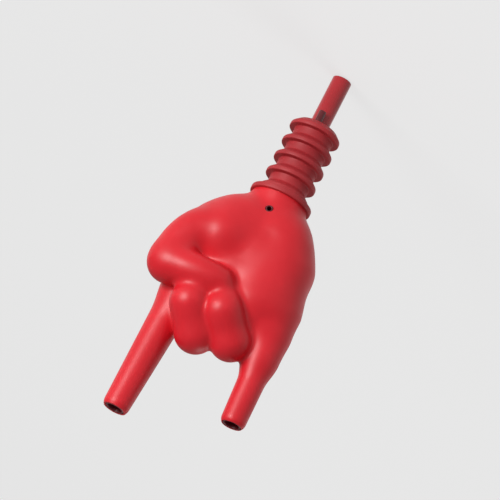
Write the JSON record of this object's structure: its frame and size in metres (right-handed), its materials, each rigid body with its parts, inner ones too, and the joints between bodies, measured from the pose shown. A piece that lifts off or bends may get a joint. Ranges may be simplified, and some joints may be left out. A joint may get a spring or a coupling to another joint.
{
  "type": "liquor pourer",
  "caption": "Hand-shaped bottle pourer: a finned rubber stopper plugs the neck, liquor leaves at the tips of the raised index and little fingers, air enters at the wrist.",
  "frame": {"origin": "on the stopper's axis, at the level of the bottle's lip", "axes": "+Z from the lip towards the fingertips, the palm faces -Y, the index finger is on the +X side"},
  "size_m": [0.0611, 0.0356, 0.1572],
  "materials": {
    "hand_plastic": "soft satin, moulded",
    "tube_plastic": "smooth, moulded",
    "stopper_rubber": "matte, moulded",
    "seal_rubber": "matte"
  },
  "bodies": {
    "stopper": {"stopper": "stopper_rubber"},
    "hand": {"stem": "tube_plastic", "stem_seal": "seal_rubber", "fork": "tube_plastic", "index_seal": "seal_rubber", "little_seal": "seal_rubber", "index_spout": "tube_plastic", "little_spout": "tube_plastic", "breather_tube": "tube_plastic", "palm_shell": "hand_plastic", "back_shell": "hand_plastic"}
  },
  "joints": [
    {"name": "stopper_pull", "type": "slide", "parent": "stopper", "child": "hand", "axis": [0, 0, 1], "range_m": [0, 0.06]}
  ]
}
